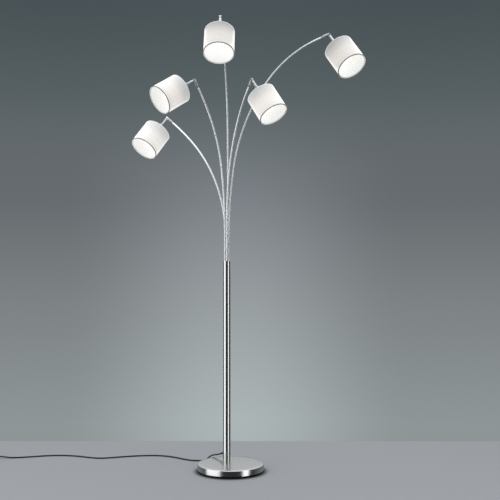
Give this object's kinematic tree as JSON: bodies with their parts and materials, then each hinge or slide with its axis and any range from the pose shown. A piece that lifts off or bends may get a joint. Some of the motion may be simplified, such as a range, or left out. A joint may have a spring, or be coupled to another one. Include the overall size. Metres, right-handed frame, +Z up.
{
  "type": "tree floor lamp",
  "caption": "Floor lamp with a round weighted base and straight pole; thin curved arms fan out from its head to jointed round fabric shades. Foot switch on the cord.",
  "frame": {"origin": "centre of the base's underside, on the floor", "axes": "+Z up; -Y towards the front, from where the arms fan out left and right; +X to the right seen from the front"},
  "size_m": [1.8794, 0.6603, 2.0046],
  "materials": {
    "base_satin": "satin nickel plate, circular brushing",
    "pole_satin": "satin nickel plate, drawn lengthwise",
    "arm_satin": "satin nickel plate",
    "knuckle_satin": "satin nickel plate",
    "screw_nickel": "bright nickel plate",
    "zinc_steel": "zinc plate",
    "weight_iron": "black primer over cast skin",
    "tray_black": "black powder coat",
    "pad_foam": "closed-cell foam",
    "terminal_plastic": "moulded",
    "holder_plastic": "moulded white",
    "bulb_glass": "opal, lit",
    "shade_fabric": "white plain weave on a stiff backing",
    "frame_wire": "white powder coat",
    "cord_sheath": "smooth black sheath",
    "grommet_rubber": "moulded black",
    "tie_plastic": "moulded black",
    "switch_plastic": "fine-textured black",
    "button_plastic": "fine-textured black",
    "pin_nickel": "nickel-plated brass"
  },
  "bodies": {
    "stand": {"base_cover": "base_satin", "base_weight": "weight_iron", "base_tray": "tray_black", "base_pad": "pad_foam", "foot_bolt": "zinc_steel", "pole": "pole_satin", "pole_insert": "zinc_steel", "pole_head": "zinc_steel", "head_screw": "screw_nickel", "terminal_block": "terminal_plastic", "pole_lead": "cord_sheath", "cord_grommet": "grommet_rubber", "cord_lead": "cord_sheath", "cord_coil": "cord_sheath", "cord_tie": "tie_plastic", "switch_base": "switch_plastic", "switch_cover": "switch_plastic", "plug_body": "switch_plastic", "plug_pins": "pin_nickel"},
    "button": {"switch_button": "button_plastic"},
    "arm_centre": {"arm_tube_centre": "arm_satin"},
    "knuckle_centre": {"arm_sleeve_centre": "knuckle_satin", "pivot_screw_centre": "screw_nickel"},
    "head_centre": {"head_cup_centre": "knuckle_satin", "lamp_holder_centre": "holder_plastic", "bulb_centre": "bulb_glass", "shade_frame_centre": "frame_wire", "shade_fabric_centre": "shade_fabric"},
    "arm_right_low": {"arm_tube_right_low": "arm_satin"},
    "knuckle_right_low": {"arm_sleeve_right_low": "knuckle_satin", "pivot_screw_right_low": "screw_nickel"},
    "head_right_low": {"head_cup_right_low": "knuckle_satin", "lamp_holder_right_low": "holder_plastic", "bulb_right_low": "bulb_glass", "shade_frame_right_low": "frame_wire", "shade_fabric_right_low": "shade_fabric"},
    "arm_far_right": {"arm_tube_far_right": "arm_satin"},
    "knuckle_far_right": {"arm_sleeve_far_right": "knuckle_satin", "pivot_screw_far_right": "screw_nickel"},
    "head_far_right": {"head_cup_far_right": "knuckle_satin", "lamp_holder_far_right": "holder_plastic", "bulb_far_right": "bulb_glass", "shade_frame_far_right": "frame_wire", "shade_fabric_far_right": "shade_fabric"},
    "arm_left_high": {"arm_tube_left_high": "arm_satin"},
    "knuckle_left_high": {"arm_sleeve_left_high": "knuckle_satin", "pivot_screw_left_high": "screw_nickel"},
    "head_left_high": {"head_cup_left_high": "knuckle_satin", "lamp_holder_left_high": "holder_plastic", "bulb_left_high": "bulb_glass", "shade_frame_left_high": "frame_wire", "shade_fabric_left_high": "shade_fabric"},
    "arm_left_low": {"arm_tube_left_low": "arm_satin"},
    "knuckle_left_low": {"arm_sleeve_left_low": "knuckle_satin", "pivot_screw_left_low": "screw_nickel"},
    "head_left_low": {"head_cup_left_low": "knuckle_satin", "lamp_holder_left_low": "holder_plastic", "bulb_left_low": "bulb_glass", "shade_frame_left_low": "frame_wire", "shade_fabric_left_low": "shade_fabric"}
  },
  "joints": [
    {"name": "arm_centre_swivel", "type": "hinge", "parent": "stand", "child": "arm_centre", "pos_m": [-0.01471, 0.08228, 0.944], "axis": [0, 0, 1], "range_deg": [-15, 15]},
    {"name": "head_centre_turn", "type": "hinge", "parent": "arm_centre", "child": "knuckle_centre", "pos_m": [-0.041, -0.197, 1.998], "axis": [-0.0739, -0.7845, 0.6157], "range_deg": [-40, 40]},
    {"name": "head_centre_tilt", "type": "hinge", "parent": "knuckle_centre", "child": "head_centre", "pos_m": [-0.041, -0.197, 1.998], "axis": [0.9969, -0.0737, 0.0257], "range_deg": [-68, 18]},
    {"name": "arm_right_low_swivel", "type": "hinge", "parent": "stand", "child": "arm_right_low", "pos_m": [-0.02, 0.066, 0.944], "axis": [0, 0, 1], "range_deg": [-15, 15]},
    {"name": "head_right_low_turn", "type": "hinge", "parent": "arm_right_low", "child": "knuckle_right_low", "pos_m": [0.094, -0.105, 1.748], "axis": [0.3528, -0.5292, 0.7716], "range_deg": [-40, 40]},
    {"name": "head_right_low_tilt", "type": "hinge", "parent": "knuckle_right_low", "child": "head_right_low", "pos_m": [0.094, -0.105, 1.748], "axis": [0.737, 0.6653, 0.1193], "range_deg": [-75, 11]},
    {"name": "arm_far_right_swivel", "type": "hinge", "parent": "stand", "child": "arm_far_right", "pos_m": [-0.01144, 0.07222, 0.944], "axis": [0, 0, 1], "range_deg": [-15, 15]},
    {"name": "head_far_right_turn", "type": "hinge", "parent": "arm_far_right", "child": "knuckle_far_right", "pos_m": [0.427, -0.177, 1.927], "axis": [0.8435, -0.4795, 0.2419], "range_deg": [-40, 40]},
    {"name": "head_far_right_tilt", "type": "hinge", "parent": "knuckle_far_right", "child": "head_far_right", "pos_m": [0.427, -0.177, 1.927], "axis": [0.5278, 0.8234, -0.2083], "range_deg": [-36, 50]},
    {"name": "arm_left_high_swivel", "type": "hinge", "parent": "stand", "child": "arm_left_high", "pos_m": [-0.02856, 0.07222, 0.944], "axis": [0, 0, 1], "range_deg": [-15, 15]},
    {"name": "head_left_high_turn", "type": "hinge", "parent": "arm_left_high", "child": "knuckle_left_high", "pos_m": [-0.161, -0.049, 1.757], "axis": [-0.4125, -0.3775, 0.829], "range_deg": [-40, 40]},
    {"name": "head_left_high_tilt", "type": "hinge", "parent": "knuckle_left_high", "child": "head_left_high", "pos_m": [-0.161, -0.049, 1.757], "axis": [0.5949, -0.8008, -0.0687], "range_deg": [-57, 29]},
    {"name": "arm_left_low_swivel", "type": "hinge", "parent": "stand", "child": "arm_left_low", "pos_m": [-0.02529, 0.08228, 0.944], "axis": [0, 0, 1], "range_deg": [-15, 15]},
    {"name": "head_left_low_turn", "type": "hinge", "parent": "arm_left_low", "child": "knuckle_left_low", "pos_m": [-0.305, 0.181, 1.625], "axis": [-0.7224, 0.2549, 0.6428], "range_deg": [-40, 40]},
    {"name": "head_left_low_tilt", "type": "hinge", "parent": "knuckle_left_low", "child": "head_left_low", "pos_m": [-0.305, 0.181, 1.625], "axis": [0.101, -0.8807, 0.4628], "range_deg": [-74, 12]},
    {"name": "switch_button_press", "type": "slide", "parent": "stand", "child": "button", "axis": [0, 0, -1], "range_m": [0, 0.003], "stiffness_N_per_m": 400, "springref_m": -0.002}
  ]
}
